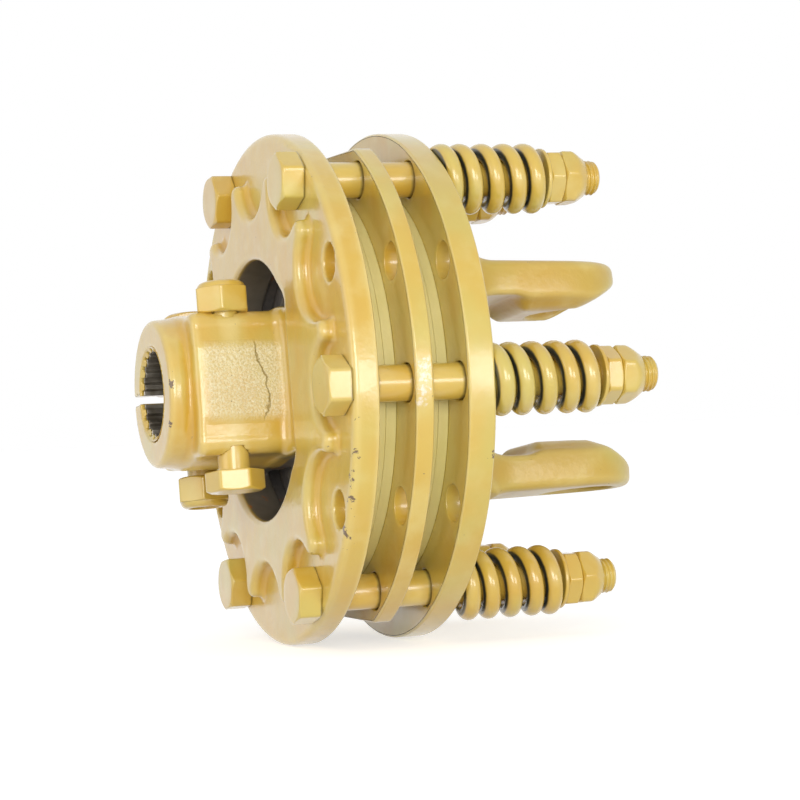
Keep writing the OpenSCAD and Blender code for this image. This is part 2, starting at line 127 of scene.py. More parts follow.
# %% Build a graph of nodes
class Graph:
    """The nodes and links of a finish or a world. An input is a value or another node's output."""

    def __init__(self, tree, on_object=False):
        self.nodes, self.links = tree.nodes, tree.links
        if on_object:
            self.place = self.nodes.new("ShaderNodeTexCoord").outputs["Object"]

    def put(self, socket, value):
        """Writes a number or a colour on a socket, or links another node's output to it."""
        if isinstance(value, (int, float, tuple)):
            socket.default_value = value
        else:
            self.links.new(value, socket)

    def fill(self, node, values):
        """Puts a value on each named input of a node."""
        for name, value in values.items():
            self.put(node.inputs[name], value)

    def math(self, how, first, second=0.0):
        """One arithmetic step."""
        step = self.nodes.new("ShaderNodeMath")
        step.operation = how
        self.fill(step, {0: first, 1: second})
        return step.outputs[0]

    def times(self, first, second):
        return self.math("MULTIPLY", first, second)

    def plus(self, first, second):
        return self.math("ADD", first, second)

    def parts(self):
        """The three coordinates of the point on the object, in metres."""
        split = self.nodes.new("ShaderNodeSeparateXYZ")
        self.put(split.inputs[0], self.place)
        return split.outputs

    def noise(self, scale, detail=3.0, rough=0.5):
        """Noise with spots of about one over scale metres."""
        field = self.nodes.new("ShaderNodeTexNoise")
        self.fill(field, {"Vector": self.place, "Scale": scale})
        self.fill(field, {"Detail": detail, "Roughness": rough})
        return field.outputs["Fac"]

    def blend(self, amount, first, second):
        """A colour between two others."""
        mix = self.nodes.new("ShaderNodeMix")
        mix.data_type = "RGBA"
        for slot, value in (("Factor", amount), ("A", first), ("B", second)):
            self.put([s for s in mix.inputs if s.name == slot and s.enabled][0], value)
        return [s for s in mix.outputs if s.enabled][0]

    def ramp(self, value, start, end):
        """A soft step: 0 up to the start and 1 from the end on, whichever of the two is larger."""
        step = self.nodes.new("ShaderNodeMapRange")
        step.interpolation_type = "SMOOTHSTEP"
        flip = start > end
        self.fill(step, {"Value": value, "From Min": min(start, end), "From Max": max(start, end)})
        self.fill(step, {"To Min": float(flip), "To Max": float(not flip)})
        return step.outputs["Result"]

    def mark(self, name):
        """One of the marks that a mesh carries at its points, or 0 where it has none."""
        layer = self.nodes.new("ShaderNodeAttribute")
        layer.attribute_name = name
        return layer.outputs["Fac"]

    def near(self, spots):
        """1 at each spot of the part, falling to 0 at its reach. Both are given in millimetres."""
        total = 0.0
        for spot, reach in spots:
            gap = self.nodes.new("ShaderNodeVectorMath")
            gap.operation = "DISTANCE"
            self.fill(gap, {0: self.place, 1: tuple(v / 1000 for v in spot)})
            total = self.math("MAXIMUM", total, self.ramp(gap.outputs["Value"], reach / 1000, 0.0))
        return total

    def bump(self, height, strength, distance):
        """A normal that leans as if the surface had this height."""
        bump = self.nodes.new("ShaderNodeBump")
        self.fill(bump, {"Height": height, "Strength": strength, "Distance": distance})
        return bump.outputs["Normal"]


def new_finish(name, on_object=True):
    """An empty node material: returns the material, its graph and its main shader."""
    finish = bpy.data.materials.new(name)
    finish.use_nodes = True
    graph = Graph(finish.node_tree, on_object)
    return finish, graph, graph.nodes["Principled BSDF"]


def seen_share(graph):
    """1 for a ray that looks, straight or by reflection, 0 for one that only gathers light."""
    ray = graph.nodes.new("ShaderNodeLightPath").outputs
    return graph.math("MAXIMUM", ray["Is Camera Ray"], ray["Is Glossy Ray"])


print("node methods ready")

# %% [markdown]
# ## Studio
# The photograph is bright, with a white surround and hardly a shadow. A pale floor catches a soft
# shadow. The world is white where it is seen or mirrored and lights the object with less than that,
# so that colours come out as written. Three soft lamps give the paint its broad highlights.

# %% Floor and world
FLOOR_LEVEL = -0.1002
FLOOR_GLOW = 0.62
WORLD_LIGHT = 0.5
GREY, WHITE = (0.8, 0.8, 0.8, 1), (1, 1, 1, 1)

bpy.ops.mesh.primitive_plane_add(size=16, location=(0.1, 0, FLOOR_LEVEL))
floor = bpy.context.object
floor.name = "studio_floor"

floor_finish, graph, shader = new_finish("pale_floor", on_object=False)
glow = graph.times(seen_share(graph), FLOOR_GLOW)
graph.fill(shader, {"Base Color": GREY, "Roughness": 0.9, "Specular IOR Level": 0.1})
graph.fill(shader, {"Emission Color": WHITE, "Emission Strength": glow})
floor.data.materials.append(floor_finish)

world = bpy.data.worlds.new("white_surround")
bpy.context.scene.world = world
world.use_nodes = True
graph = Graph(world.node_tree)
strength = graph.plus(graph.times(seen_share(graph), 1 - WORLD_LIGHT), WORLD_LIGHT)
graph.fill(graph.nodes["Background"], {"Color": WHITE, "Strength": strength})
print("floor at", FLOOR_LEVEL)


# %% Lamps
def soft_lamp(name, place, aim, size, power, colour=(1, 1, 1)):
    """A square area lamp at a place, turned so that its face looks at the aim point."""
    lamp = bpy.data.lights.new(name, "AREA")
    lamp.size = size
    lamp.energy = power
    lamp.color = colour
    stand = bpy.data.objects.new(name, lamp)
    bpy.context.scene.collection.objects.link(stand)
    back = np.array(place) - np.array(aim)
    back /= np.linalg.norm(back)
    side = np.cross((0, 0, 1), back)
    side /= np.linalg.norm(side)
    up = np.cross(back, side)
    stand.matrix_world = Matrix(
        [(side[k], up[k], back[k], place[k]) for k in range(3)] + [(0, 0, 0, 1)]
    )


soft_lamp("key_lamp", (-0.5, -1.85, 0.3), (0.09, 0, 0), 0.8, 15.5, (1, 0.99, 0.97))
soft_lamp("front_lamp", (-1.6, -0.3, 0.25), (0.05, 0, 0), 1.1, 6, (1, 0.90, 0.86))
soft_lamp("side_lamp", (0.68, -1.8, 0.0), (0.1, 0, 0), 0.75, 11.5)
print("lamps placed")

# %% [markdown]
# ## Surfaces from arrays
# Every new piece is a set of points in millimetres and a set of faces, put into the mesh in one go.
# A vertex normal is the sum of the face normals round it. A big flat face then counts for more than
# a narrow rounded edge, which keeps flats flat and lets edges shine softly.


# %% Put arrays into a mesh
def face_normals(points, faces):
    """Cross product of the two diagonals of each face: twice its area, along its normal. In a
    triangle, the side from the second corner back to the first stands for the second diagonal."""
    last = faces[:, 3 % faces.shape[1]]
    return np.cross(points[faces[:, 2]] - points[faces[:, 0]], points[last] - points[faces[:, 1]])


def point_normals(points, parts):
    """Each point's normal: the area-weighted sum of its faces' normals, made one long."""
    total = np.zeros_like(points)
    for faces in parts:
        normal = face_normals(points, faces)
        for corner in range(faces.shape[1]):
            for axis in range(3):
                total[:, axis] += np.bincount(faces[:, corner], normal[:, axis], len(points))
    return total / np.maximum(np.linalg.norm(total, axis=1), 1e-12)[:, None]


def volume_of(points, parts):
    """Signed volume: over all triangles, the sum of a . (b x c) / 6."""
    total = 0.0
    for faces in parts:
        for k in range(1, faces.shape[1] - 1):
            a, b, c = points[faces[:, 0]], points[faces[:, k]], points[faces[:, k + 1]]
            total += np.einsum("ij,ij->", a, np.cross(b, c)) / 6
    return total


def make_piece(name, points, parts, body, finish, marks=None, normals=None, shaded=True):
    """Puts points (in millimetres) and faces (arrays of quads and of triangles) into one object."""
    if volume_of(points, parts) < 0:
        parts = [faces[:, ::-1] for faces in parts]
    corners = np.concatenate([faces.ravel() for faces in parts]).astype(np.int32)
    sizes = np.concatenate([np.full(len(faces), faces.shape[1]) for faces in parts])
    mesh = bpy.data.meshes.new(name)
    mesh.vertices.add(len(points))
    mesh.vertices.foreach_set("co", (points / 1000).astype(np.float32).ravel())
    mesh.loops.add(len(corners))
    mesh.loops.foreach_set("vertex_index", corners)
    mesh.polygons.add(len(sizes))
    mesh.polygons.foreach_set("loop_start", (np.cumsum(sizes) - sizes).astype(np.int32))
    mesh.update(calc_edges=True)
    mesh.polygons.foreach_set("use_smooth", np.ones(len(sizes), bool))
    for mark, values in (marks or {}).items():
        layer = mesh.attributes.new(mark, "FLOAT", "POINT")
        layer.data.foreach_set("value", values.astype(np.float32))
    if shaded:
        if normals is None:
            normals = point_normals(points, parts)
        mesh.normals_split_custom_set_from_vertices(normals.astype(np.float32))
    piece = bpy.data.objects.new(name, mesh)
    bpy.context.scene.collection.objects.link(piece)
    mesh.materials.append(finish)
    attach(piece, body)
    return piece


def grid_faces(rows, columns, wrap_rows, wrap_columns):
    """Quads of a grid of points, where a wrapped direction joins its last line to its first."""
    down = np.arange(rows if wrap_rows else rows - 1)
    along = np.arange(columns if wrap_columns else columns - 1)
    row, column = np.meshgrid(down, along, indexing="ij")
    here, below = row * columns, (row + 1) % rows * columns
    beside = (column + 1) % columns
    quads = [here + column, here + beside, below + beside, below + column]
    return np.stack(quads, -1).reshape(-1, 4)


def closed_grid(grid, wrap_rows=False):
    """A grid of rings as a closed skin, with the last ring joined to the first or a fan on both
    ends."""
    rows, columns = grid.shape[:2]
    points = grid.reshape(-1, 3)
    quads = grid_faces(rows, columns, wrap_rows, True)
    if wrap_rows:
        return points, [quads]
    ring = np.arange(columns)
    ahead = (ring + 1) % columns
    last = (rows - 1) * columns
    tip = np.full(columns, rows * columns)
    first_fan = np.stack([tip, ahead, ring], -1)
    last_fan = np.stack([tip + 1, last + ring, last + ahead], -1)
    points = np.vstack([points, grid[0].mean(0), grid[-1].mean(0)])
    return points, [quads, np.vstack([first_fan, last_fan])]


print("mesh functions ready")

# %% [markdown]
# ## Places on the part
# Lengths in millimetres. Most are the part's source's own; the springs and what sits on them were
# measured again, and are a little shorter. The six bolts stand on one circle: the first is nearest
# to the camera, and the others follow every 60 degrees over the top.

# %% Named lengths
FLANGE_X, FLANGE_BACK = 48.0, 58.5
MIDDLE_X, MIDDLE_BACK = 72.0, 79.0
PRESSURE_X, PRESSURE_BACK = 92.5, 103.0
SPRING_L, WASHER_X, NUT_X, JAM_X, BOLT_END = 43.2, 146.2, 147.9, 154.4, 170.2
PLATE_R, BOLT_R, CROSS_X = 100.0, 90.0, 175.0
HUB_TURN, YOKE_TURN = np.radians(-7), np.radians(-6)
THIRTY, SIXTY = np.pi / 6, np.pi / 3
print("bolts end at", BOLT_END)


# %% Places from angles
def turned_frame(y, z, turn):
    """Coordinates in a frame that is turned about X by an angle."""
    c, s = np.cos(turn), np.sin(turn)
    return y * c + z * s, -y * s + z * c


def at_bolt(points, number):
    """Local points (x along the bolt, y, z) at bolt 1 to 6: a step out, then a turn about X."""
    y, z = turned_frame(points[..., 1] - BOLT_R, points[..., 2], (number - 1) * SIXTY)
    return np.stack([points[..., 0], y, z], -1)


def around(x, radius, angle):
    """Points at a place along X, a radius, and an angle that runs from Y towards Z."""
    places = np.broadcast_arrays(x, radius * np.cos(angle), radius * np.sin(angle))
    return np.stack(places, -1)


def share(value, start, end):
    """How far a value has come from a start to an end: 0 before, 1 beyond, straight between."""
    return np.clip((value - start) / (end - start), 0, 1)


def eased(t):
    """A share from 0 to 1 that leaves and arrives softly: 3 t^2 - 2 t^3."""
    return t * t * (3 - 2 * t)


print("bolt 2 stands at", at_bolt(np.zeros(3), 2))

# %% [markdown]
# ## Paint
# The real paint is thick and glossy, dipped or sprayed over forging scale. It is paler on edges,
# slightly mottled, and it has an orange-peel skin. Small chips show dark primer. Hollows and the
# gaps between plates get painted shade, the gaps between spring turns painted shade with grime, and
# the rough forged patch a painted pale sheen. The colour follows noise in Object coordinates, and
# four
# marks that a mesh may carry: how far a point lies on an edge, how much painted shade it gets, on
# the rough patch that a forging die leaves, and on metal that the spray never reached.

# %% Places of wear and of painted shade
# Plate faces where the shanks get dark bands: painted shade where they enter the plates, with grime.
GRIME_SHADE_BANDS = (
    (FLANGE_BACK, 2.2), (MIDDLE_X, 2.0), (MIDDLE_BACK, 2.2), (PRESSURE_X, 2.0), (FLANGE_X, 1.6),
)
WORN = (
    ((48, -97, -25), 5), ((48, -94, -34), 6), ((48, -91, -41.5), 6), ((48.5, -84, -54), 6),
    ((102.5, -96.1, -27.6), 4), ((40, -96.5, -2.6), 2.6), ((40, -56, -86.5), 2.4),
    ((40, -61.3, 93.1), 3), ((0, -28.3, 3.6), 4.5), ((0, -25.8, -12), 4),
)
SCUFF = (
    ((75.5, -99.8, 6), 8), ((75.2, -99.9, 2), 8), ((74.6, -99.9, -3), 8), ((73.8, -99.7, -7), 7),
)
print("chipped places:", len(WORN), "scratched:", len(SCUFF))


# %% Parting seam
def seam_of(graph, forged):
    """The forging's parting seam on its rough patch: a step and its line. Along X it stands where
    0.0328 + 0.0021 sin(165 (z + 0.011)) + 0.0055 noise says, so it wanders with the height."""
    times, plus, part = graph.times, graph.plus, graph.parts()
    wave = times(graph.math("SINE", times(plus(part["Z"], 0.011), 165.0)), 0.0021)
    uneven = times(graph.noise(190.0, 4.0, 0.6), 0.0055)
    gap = graph.math("SUBTRACT", part["X"], plus(plus(wave, uneven), 0.0328))
    step = graph.ramp(gap, 0.0004, -0.0004)
    line = graph.ramp(graph.math("ABSOLUTE", gap), 0.0005, 0.00015)
    return times(step, forged), times(line, forged)


# %% Paint finish
CHIP_LEVEL = 0.72
COAT, SOFT_COAT = (1.0, 0.17), (0.4, 0.3)


def paint_finish(
    name, base=OCHRE, deep=OCHRE_MOTTLE_AND_SHADE, peel=0.35, cast=0.0, grime_and_shade=0.0, grime_shade_bands=(), coat=COAT
):
    """Ochre paint: layers of colour over a base, each with the amount that shows, and a bump."""
    finish, graph, shader = new_finish(name)
    noise, ramp, times, plus = graph.noise, graph.ramp, graph.times, graph.plus
    edge, painted_shade, forged, bare = [graph.mark(n) for n in ("edge", "painted_shade", "forged", "bare")]
    seam, line = seam_of(graph, forged)
    # Painted sheen: a fine sparkling grain that makes the rough forged patch pale.
    sheen_grain = plus(0.38, times(ramp(noise(1300.0, 3.0, 0.6), 0.38, 0.68), 0.55))
    layers = [
        (times(ramp(noise(20.0), 0.35, 0.75), 0.85), OCHRE_MOTTLE_AND_SHADE),
        (times(ramp(noise(64.0, 5.0), 0.45, 0.72), 0.4), OCHRE_PALE),
        (plus(times(ramp(noise(34.0, 2.0), 0.42, 0.7), 0.5), cast), OCHRE_GREEN),
        # Painted shade: a deeper tone where the shade mark is high.
        (times(painted_shade, 0.6), deep),
        (times(edge, 0.5), OCHRE_PALE),
        # Painted sheen on the rough forged patch; its roughness and bump are the real texture.
        (times(forged, sheen_grain), SHEEN_CHALK),
        (times(line, 0.75), SEAM),
    ]
    part = graph.parts()
    # Dark bands at these places along X: painted shade where a shank enters a plate, with grime.
    for at, reach in grime_shade_bands:
        gap = graph.math("ABSOLUTE", plus(part["X"], -at / 1000))
        gap = plus(gap, times(noise(260.0, 4.0), 0.0012))
        layers.append((times(ramp(gap, reach / 1000, 0.0003), 0.8), GRIME_AND_SHADE))
    # Painted shade with grime where the shade mark is strong.
    if grime_and_shade:
        settled_shade = ramp(plus(painted_shade, times(noise(300.0, 3.0), 0.25)), 0.55, 1.0)
        layers.append((times(settled_shade, grime_and_shade), GRIME_AND_SHADE))

    near_wear = plus(times(edge, 0.06), times(graph.near(WORN), 0.2))
    chip = ramp(plus(noise(430.0, 5.0, 0.66), near_wear), CHIP_LEVEL, CHIP_LEVEL + 0.02)
    speck = times(ramp(noise(520.0, 3.0, 0.6), 0.74, 0.77), ramp(noise(30.0, 2.0), 0.5, 0.62))
    chip = graph.math("MAXIMUM", chip, times(speck, 0.6))
    steel = graph.blend(noise(200.0, 5.0), STEEL_DARK, STEEL_PALE)
    steel = graph.blend(ramp(noise(110.0, 4.0), 0.62, 0.68), steel, RUST)
    scratch = ramp(plus(noise(650.0, 5.0, 0.7), times(graph.near(SCUFF), 0.42)), 0.78, 1.02)
    layers += [(chip, PRIMER), (times(bare, 0.94), steel), (times(scratch, 0.75), SCRATCH)]
    colour = base
    for amount, tone in layers:
        colour = graph.blend(amount, colour, tone)

    height = plus(times(noise(520.0, 2.0), peel * 0.35), times(noise(120.0, 3.0), peel))
    height = plus(height, times(times(forged, noise(1000.0, 3.0, 0.6)), 2.2))
    height = plus(height, plus(times(seam, 1.3), times(line, -1.0)))
    leaning = graph.bump(plus(height, times(chip, -0.4)), 0.55, 0.0006)
    rough = plus(0.26, times(noise(90.0, 4.0), 0.2))
    graph.fill(shader, {"Base Color": colour, "Roughness": rough})
    graph.fill(shader, {"Coat Weight": coat[0], "Coat Roughness": coat[1]})
    graph.fill(shader, {"Normal": leaning, "Coat Normal": leaning})
    return finish


forging_paint = paint_finish("forging_paint", peel=0.6)
# The yoke's darker base is painted shade on its ears, the same paint as the hub.
yoke_paint = paint_finish("yoke_paint", base=OCHRE_SHADED, peel=0.8, cast=0.1, coat=SOFT_COAT)
# Plates: painted shade darkens their faces towards the axis, in the gaps between them.
plate_paint = paint_finish("plate_paint", deep=PLATE_GAP_SHADE, peel=0.25, cast=0.1)
# Fasteners: dark bands of painted shade with grime at the plate faces.
fastener_paint = paint_finish("fastener_paint", deep=FASTENER_SHADE, peel=0.3, cast=0.06, grime_shade_bands=GRIME_SHADE_BANDS)
# Springs: painted shade with grime between the turns.
spring_paint = paint_finish("spring_paint", peel=0.25, cast=0.12, grime_and_shade=1.0)
print("paints made")

# %% [markdown]
# ## Other finishes
# The friction rings' rims caught a pale greenish overspray, and their faces stay dark, with flecks
# of rust. Bronze and machined steel are only seen inside.


# %% Bronze and machined steel
def plain_finish(name, dark, pale, scale, metallic, rough):
    """Two tones blended by fine noise, with a slight bump from the same noise."""
    finish, graph, shader = new_finish(name)
    field = graph.noise(scale, 5.0)
    tones = graph.nodes.new("ShaderNodeValToRGB")
    stops = tones.color_ramp.elements
    stops[0].position, stops[0].color = 0.35, dark
    stops[1].position, stops[1].color = 0.7, pale
    graph.put(tones.inputs["Fac"], field)
    graph.fill(shader, {"Base Color": tones.outputs["Color"], "Metallic": metallic})
    graph.fill(shader, {"Roughness": rough, "Normal": graph.bump(field, 0.5, 0.0001)})
    return finish


bronze = plain_finish("bronze", BRONZE_DARK, BRONZE_PALE, 120.0, 1.0, 0.35)
bright_steel = plain_finish("bright_steel", CUT_DARK, CUT_PALE, 150.0, 0.85, 0.38)


# %% Friction rings' finish
def rim_finish(name):
    """Overspray on the rim, beyond 78 mm from the axis, and dark, rust-flecked faces."""
    finish, graph, shader = new_finish(name)
    noise, times, part = graph.noise, graph.times, graph.parts()
    far = graph.math("SQRT", graph.plus(*[times(part[n], part[n]) for n in "YZ"]))
    far = graph.math("SUBTRACT", far, times(noise(160.0), 0.0012))
    sprayed = graph.ramp(far, 0.0774, 0.0780)
    face = graph.blend(noise(240.0, 5.0), FACE_DARK, FACE_PALE)
    face = graph.blend(times(graph.ramp(noise(95.0, 4.0), 0.62, 0.68), 0.7), face, FACE_RUST)
    spray = graph.blend(noise(60.0), SPRAY, SPRAY_PALE)
    graph.fill(shader, {"Base Color": graph.blend(sprayed, face, spray)})
    graph.fill(shader, {"Coat Weight": 0.3, "Coat Roughness": 0.3})
    graph.fill(shader, {"Normal": graph.bump(noise(420.0, 4.0), 0.4, 0.0003)})
    return finish


lining = rim_finish("lining")
drive_steel = rim_finish("drive_plate")
print("other finishes made")

# %% [markdown]
# ## Forgings from a field
# A forging has no sharp edge: draft, fillets and blends flow into each other. Such a shape is
# easiest to say as a field, a number that is negative inside the metal and grows with the distance
# outside. Two shapes join where the smaller field wins, and a soft minimum rounds the place where
# they meet. A skin is then laid over the zero level: each grid cell that the level crosses gets a
# point, and each grid edge that it crosses gets a quad through the four cells round it.


# %% Soft joins
def soft_min(a, b, k):
    """The smaller of two fields, with a blend about k wide where they are equal."""
    return np.minimum(a, b) - np.maximum(k - np.abs(a - b), 0) ** 2 / (4 * k)


def soft_max(a, b, k):
    """The larger of two fields, blended in the same way."""
    return np.maximum(a, b) + np.maximum(k - np.abs(a - b), 0) ** 2 / (4 * k)


# %% Lay a skin over a field
def skin_of(field, low, high, step):
    """Surface nets: a point in each crossed cell at the mean of its edge crossings, two steps of
    Newton's rule along the slope to the level itself, and a quad for each crossed edge. The slope's
    direction is the skin's normal."""
    axes = [np.arange(a, b + step, step) for a, b in zip(low, high)]
    value = field(*np.meshgrid(*axes, indexing="ij", sparse=True))
    value = np.broadcast_to(value, [len(a) for a in axes])
    inside = value < 0
    cells = tuple(n - 1 for n in inside.shape)
    corner = [(i, j, k) for i in (0, 1) for j in (0, 1) for k in (0, 1)]

    def at(array, c):
        return array[tuple(slice(o, o + n) for o, n in zip(c, cells))]

    count = sum(at(inside, c).astype(np.int8) for c in corner)
    crossed = np.nonzero((count > 0) & (count < 8))
    number = np.full(cells, -1, np.int64)
    number[crossed] = np.arange(len(crossed[0]))
    corner_value = {c: at(value, c)[crossed] for c in corner}
    total = np.zeros((len(crossed[0]), 3))
    hits = np.zeros(len(crossed[0]))
    for axis in range(3):
        for c in corner:
            if c[axis]:
                continue
            other = tuple(1 if n == axis else v for n, v in enumerate(c))
            a, b = corner_value[c], corner_value[other]
            hit = (a < 0) != (b < 0)
            cut = np.where(hit, a / np.where(hit, a - b, 1), 0)
            place = np.tile(np.array(c, float), (len(a), 1))
            place[:, axis] = cut
            total += place * hit[:, None]
            hits += hit
    points = (np.stack(crossed, -1) + total / hits[:, None]) * step + np.array([a[0] for a in axes])
    quads = []
    for axis in range(3):
        p, q = (axis + 1) % 3, (axis + 2) % 3
        start, ahead = [slice(None)] * 3, [slice(None)] * 3
        start[axis], ahead[axis] = slice(0, -1), slice(1, None)
        for other in (p, q):
            start[other] = ahead[other] = slice(1, -1)
        a, b = inside[tuple(start)], inside[tuple(ahead)]
        edge = np.nonzero(a != b)
        index = [e.copy() for e in edge]
        index[p] += 1
        index[q] += 1

        def cell(dp, dq):
            place = list(index)
            place[p], place[q] = index[p] - dp, index[q] - dq
            return number[tuple(place)]

        quad = np.stack([cell(1, 1), cell(0, 1), cell(0, 0), cell(1, 0)], -1)
        flip = b[edge]
        quad[flip] = quad[flip][:, ::-1]
        quads.append(quad)
    for _ in range(2):
        slope, here = slope_of(field, points)
        stride = (here / np.maximum((slope**2).sum(1), 1e-6))[:, None]
        points = points - slope * stride.clip(-step, step)
    slope, _ = slope_of(field, points)
    return points, np.vstack(quads), slope / np.linalg.norm(slope, axis=1)[:, None]


def slope_of(field, points, reach=0.05):
    """The field's slope by differences over a short reach to both sides, and its value."""
    x, y, z = points.T
    slope = np.stack(
        [
            field(x + reach, y, z) - field(x - reach, y, z),
            field(x, y + reach, z) - field(x, y - reach, z),
            field(x, y, z + reach) - field(x, y, z - reach),
        ],
        -1,
    )
    return slope / (2 * reach), field(x, y, z)


def edge_and_hollow(field, points, reach=1.6):
    """How bent the skin is: the field's mean over six neighbours less its value, scaled to 0 to 1.
    Positive on outer edges, negative in hollows. The hollow share is used for painted shade."""
    x, y, z = points.T
    bend = -6 * field(x, y, z)
    for dx, dy, dz in ((1, 0, 0), (0, 1, 0), (0, 0, 1)):
        for sign in (-reach, reach):
            bend = bend + field(x + sign * dx, y + sign * dy, z + sign * dz)
    bend /= reach**2
    return np.clip(bend * 1.6, 0, 1), np.clip(-bend * 2.4, 0, 1)


print("fields can be skinned")

# %% [markdown]
# ## Clamp hub and flange
# One forging: a round, slightly flared barrel runs over a groove into a boxy clamp body, and that
# flows into a star-shaped plateau on the flange, with pockets for the bolt heads and scallops round
# the empty holes. Beside the body the plateau is lowered. Two windows above and below the body go
# right through the flange. The hub stands 7 degrees turned.

# %% Lengths of the hub forging
STAR_X, STAR_R, STAR_LOW, POCKET_R, SCALLOP_R = 42, 85, 3.6, 17.5, 19.8
WINDOW_R, WINDOW_Z = 51, 27.9
BOX_X, BOX_Y, BOX_Z, BOX_ROUND = 9.6, 31, 27.5, 5.5
CLAMP_X, CLAMP_Y, CLAMP_HOLE_R = 24.3, 22.7, 6.04
SLOT_Z, SLOT_HALF, SLOT_END = 0.9, 1.9, 36
BORE_R, HOLE_R, SPARE_R = 18.25, 7.1, 7.0
HUB_STEP, YOKE_STEP = 1.0, 0.9


# %% The hub forging's field
def hub_field(x, y, z):
    """Flange disc and star joined softly, less the windows, joined to barrel and box, less holes.
    Pockets and scallops are circles that stay open outwards: only what lies inwards counts."""
    r = np.hypot(y, z)
    ty, tz = turned_frame(y, z, HUB_TURN)
    wide, high = np.abs(ty), np.abs(tz)
    angle = np.arctan2(z, -y)
    near_bolt = (angle + THIRTY) % SIXTY - THIRTY
    near_spare = angle % SIXTY - THIRTY
    bolt_out, bolt_off = r * np.cos(near_bolt), r * np.sin(near_bolt)
    spare_out, spare_off = r * np.cos(near_spare), r * np.sin(near_spare)
    pocket = np.hypot(np.minimum(bolt_out - 86.5, 0), bolt_off)
    scallop = np.hypot(np.minimum(spare_out - 87.5, 0), spare_off)

    disc = soft_max(soft_max(FLANGE_X - x, r - PLATE_R, 2.8), x - FLANGE_BACK, 1.2)
    outline = soft_max(soft_max(r - STAR_R, POCKET_R - pocket, 3.5), SCALLOP_R - scallop, 3.5)
    moat = share(wide, 47, 33) * share(high, 37, 28)
    top = STAR_X + STAR_LOW * eased(moat)
    star = soft_max(soft_max(top - x, outline, 3.0), x - 52, 1)
    window = soft_max(r - WINDOW_R, WINDOW_Z - high, 3)
    flange = soft_max(soft_min(disc, star, 2.5), -window, 2.0)

    over_y = wide - (BOX_Y - 1.1 * share(high, 13, 21)) + BOX_ROUND
    over_z = high - (BOX_Z - BOX_ROUND)
    box = np.hypot(np.maximum(over_y, 0), np.maximum(over_z, 0)) - BOX_ROUND
    box = soft_max(box + np.minimum(np.maximum(over_y, over_z), 0), BOX_X - x, 3)
    groove = 2.2 * np.exp(-(((x - 8.2) / 2.4) ** 2)) * np.clip(1.3 - high / 18, 0, 1)
    flare = 28.6 + 1.4 * share(x, 0, 11) ** 2
    hub = soft_min(box, soft_max(r - flare + groove, -x, 2.4), 2.5)
    body = soft_max(soft_min(flange, hub, 5), x - FLANGE_BACK, 1.0)

    bolt_hole = np.hypot(bolt_out - BOLT_R, bolt_off) - HOLE_R
    spare_hole = np.maximum(np.hypot(spare_out - BOLT_R, spare_off) - SPARE_R, 40 - np.abs(y))
    hole = np.minimum(np.minimum(bolt_hole, spare_hole), r - BORE_R)
    clamp_hole = np.hypot(x - CLAMP_X, wide - CLAMP_Y) - CLAMP_HOLE_R
    slot = np.maximum(np.maximum(np.abs(tz - SLOT_Z) - SLOT_HALF, -ty), x - SLOT_END)
    body = np.maximum(soft_max(body, -hole, 0.9), -clamp_hole)
    return soft_max(body, -slot, 0.6)


# %% The hub forging's skin
points, quads, normals = skin_of(hub_field, (-2, -102, -102), (60.6, 102, 102), HUB_STEP)
# The hollow share is painted shade: a deeper tone in the forging's hollows.
edge, painted_shade = edge_and_hollow(hub_field, points)
along, far = points[:, 0], np.hypot(points[:, 1], points[:, 2])
wide, high = np.abs(turned_frame(points[:, 1], points[:, 2], HUB_TURN))
forged = share(np.abs(wide - 32), 5, 2) * share(high, 16, 12)
forged *= share(along, 45, 41) * share(along, 12, 15)
wall = np.maximum(share(along, 48.6, 49.6), share(along, 43.6, 44.6) * share(far, 49.2, 50.2))
bare = wall * share(far, 52.6, 51.8) * share(high, 25.5, 27.5)
marks = {"edge": edge, "painted_shade": painted_shade, "forged": forged, "bare": bare}
hub_forging = make_piece(
    "hub_forging", points, [quads], "hub", forging_paint, marks, normals
)
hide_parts("clamp_hub", "flange")
print("hub forging:", len(quads), "quads")

# %% [markdown]
# ## Yoke
# The yoke is forged too: a round base and two ears with flat, slightly crowned backs, bosses round
# the cross bore, and a bevelled tip. It is hollow in the middle for the cross of the joint, and it
# stands 6 degrees turned. Its base keeps to its own side of the pressure plate, which can lift.

# %% Lengths of the yoke forging
YOKE_X, YOKE_BASE_R, YOKE_BACK, EAR_HALF = 107, 46, 47.4, 24.2
YOKE_BORE_R, CROSS_BORE_R = 27, 15.1


